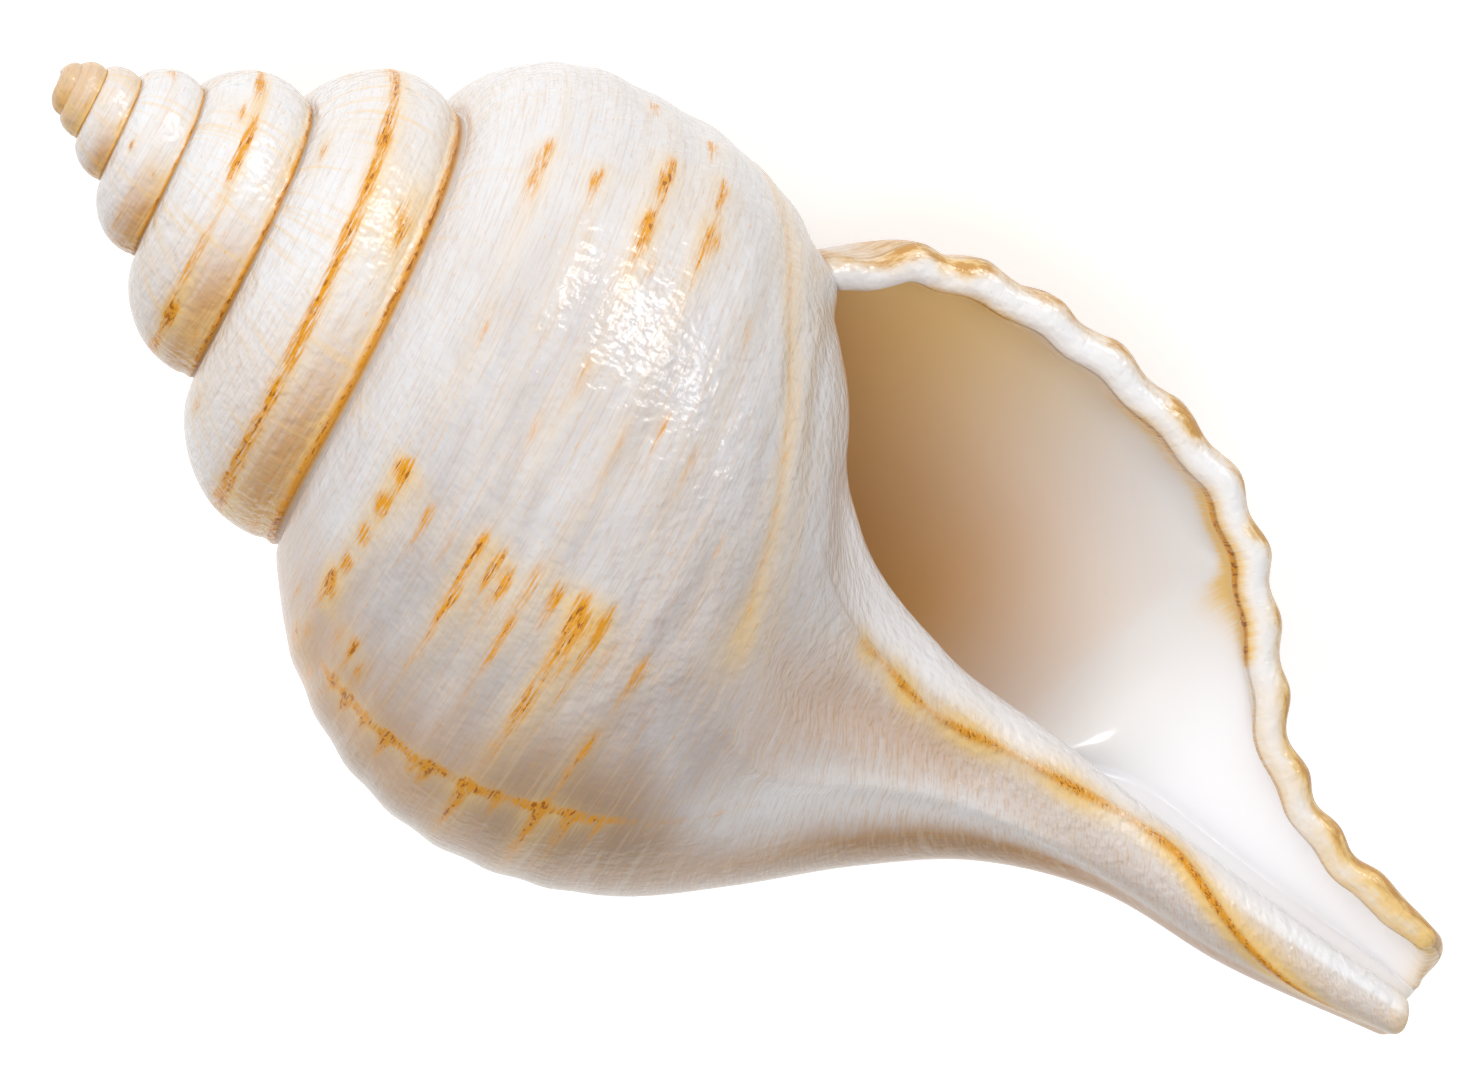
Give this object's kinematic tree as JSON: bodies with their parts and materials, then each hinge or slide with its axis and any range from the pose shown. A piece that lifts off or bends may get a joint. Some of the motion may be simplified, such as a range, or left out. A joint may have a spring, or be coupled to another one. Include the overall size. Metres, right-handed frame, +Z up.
{
  "type": "conch shell",
  "caption": "Large spiral sea shell with a tapering spire, swollen body whorl, flared wavy lip, open mouth and a long open canal, resting on its back with the mouth up.",
  "frame": {"origin": "centre of the bounding box in plan, at the surface the shell rests on", "axes": "+X along the shell from the spire's tip towards the canal's tip, +Y towards the lip's side, +Z up, out of the resting surface"},
  "size_m": [0.1662, 0.0772, 0.0733],
  "materials": {
    "shell": "glossy porcelain-like shell, white to cream with amber spots and streaks"
  },
  "bodies": {
    "root": {"shell": "shell"}
  },
  "joints": []
}
